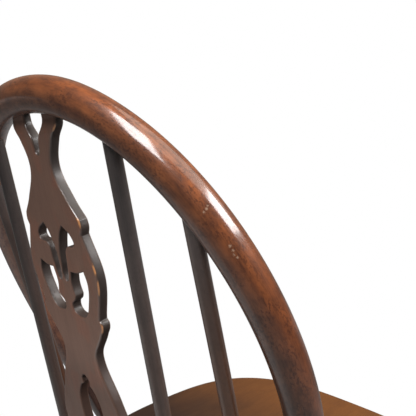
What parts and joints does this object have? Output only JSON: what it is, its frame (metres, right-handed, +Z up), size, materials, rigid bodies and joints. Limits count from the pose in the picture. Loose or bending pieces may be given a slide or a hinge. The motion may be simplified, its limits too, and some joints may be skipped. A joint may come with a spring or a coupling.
{
  "type": "thistle back dining chair",
  "caption": "Hoop-back wooden dining chair with a bent round bow, a pierced thistle splat between plain spindles, a dished seat and turned legs joined by an H stretcher.",
  "frame": {"origin": "on the floor, under the middle of the chair's overall box", "axes": "+Z up, -Y the way the sitter faces, +X the chair's own left"},
  "size_m": [0.4118, 0.4883, 0.861],
  "materials": {
    "bow_wood": "glossy red-brown stain",
    "splat_wood": "satin grey-brown stain",
    "spindle_wood": "satin dark brown stain",
    "seat_wood": "satin golden brown polish",
    "leg_wood": "satin red-brown stain",
    "wedge_wood": "bare pale wood"
  },
  "bodies": {
    "root": {"bow": "bow_wood", "splat": "splat_wood", "spindle_inner_left": "spindle_wood", "spindle_inner_right": "spindle_wood", "spindle_outer_left": "spindle_wood", "spindle_outer_right": "spindle_wood", "seat": "seat_wood", "leg_front_left": "leg_wood", "leg_front_right": "leg_wood", "leg_rear_left": "leg_wood", "leg_rear_right": "leg_wood", "stretcher_left": "leg_wood", "stretcher_right": "leg_wood", "stretcher_cross": "leg_wood", "bow_wedge_left": "wedge_wood", "bow_wedge_right": "wedge_wood"}
  },
  "joints": []
}
